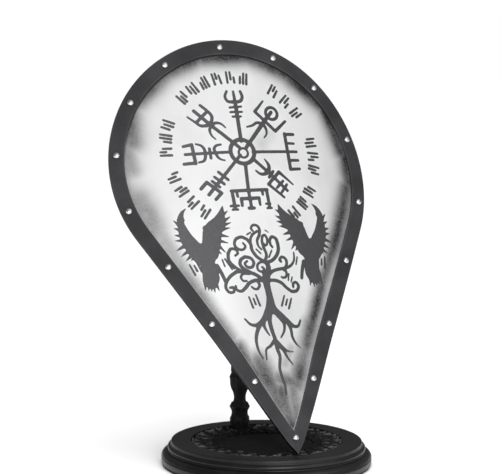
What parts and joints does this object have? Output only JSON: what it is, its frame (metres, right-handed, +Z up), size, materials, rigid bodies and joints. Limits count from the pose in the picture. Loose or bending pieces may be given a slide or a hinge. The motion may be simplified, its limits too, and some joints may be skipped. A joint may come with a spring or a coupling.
{
  "type": "kite shield on a stand",
  "caption": "Rolled steel kite shield with a riveted rim band and painted compass, birds and tree, standing on its tip against the carved post of a round black base.",
  "frame": {"origin": "middle of the base's underside, on the surface that the stand rests on", "axes": "+Z up, -Y the way the shield faces, +X to the right of someone who looks at the shield's front"},
  "size_m": [0.387, 0.3192, 0.5802],
  "materials": {
    "plate_steel": "bright brushed steel with dark burnished clouds near the rim and a painted grey design",
    "band_steel": "steel blackened to a satin dark grey",
    "rivet_steel": "polished dome heads",
    "stand_lacquer": "turned and carved wood in black satin lacquer",
    "strap_leather": "dark brown harness leather, edges burnished"
  },
  "bodies": {
    "root": {"stand_base": "stand_lacquer", "stand_post": "stand_lacquer", "shield_plate": "plate_steel", "rim_band": "band_steel", "rivet_01": "rivet_steel", "rivet_02": "rivet_steel", "rivet_03": "rivet_steel", "rivet_04": "rivet_steel", "rivet_05": "rivet_steel", "rivet_06": "rivet_steel", "rivet_07": "rivet_steel", "rivet_08": "rivet_steel", "rivet_09": "rivet_steel", "rivet_10": "rivet_steel", "rivet_11": "rivet_steel", "rivet_12": "rivet_steel", "rivet_13": "rivet_steel", "rivet_14": "rivet_steel", "rivet_15": "rivet_steel", "rivet_16": "rivet_steel", "arm_strap": "strap_leather", "arm_bridge_upper": "band_steel", "arm_bridge_lower": "band_steel", "grip_strap": "strap_leather", "grip_bridge_upper": "band_steel", "grip_bridge_lower": "band_steel"}
  },
  "joints": []
}
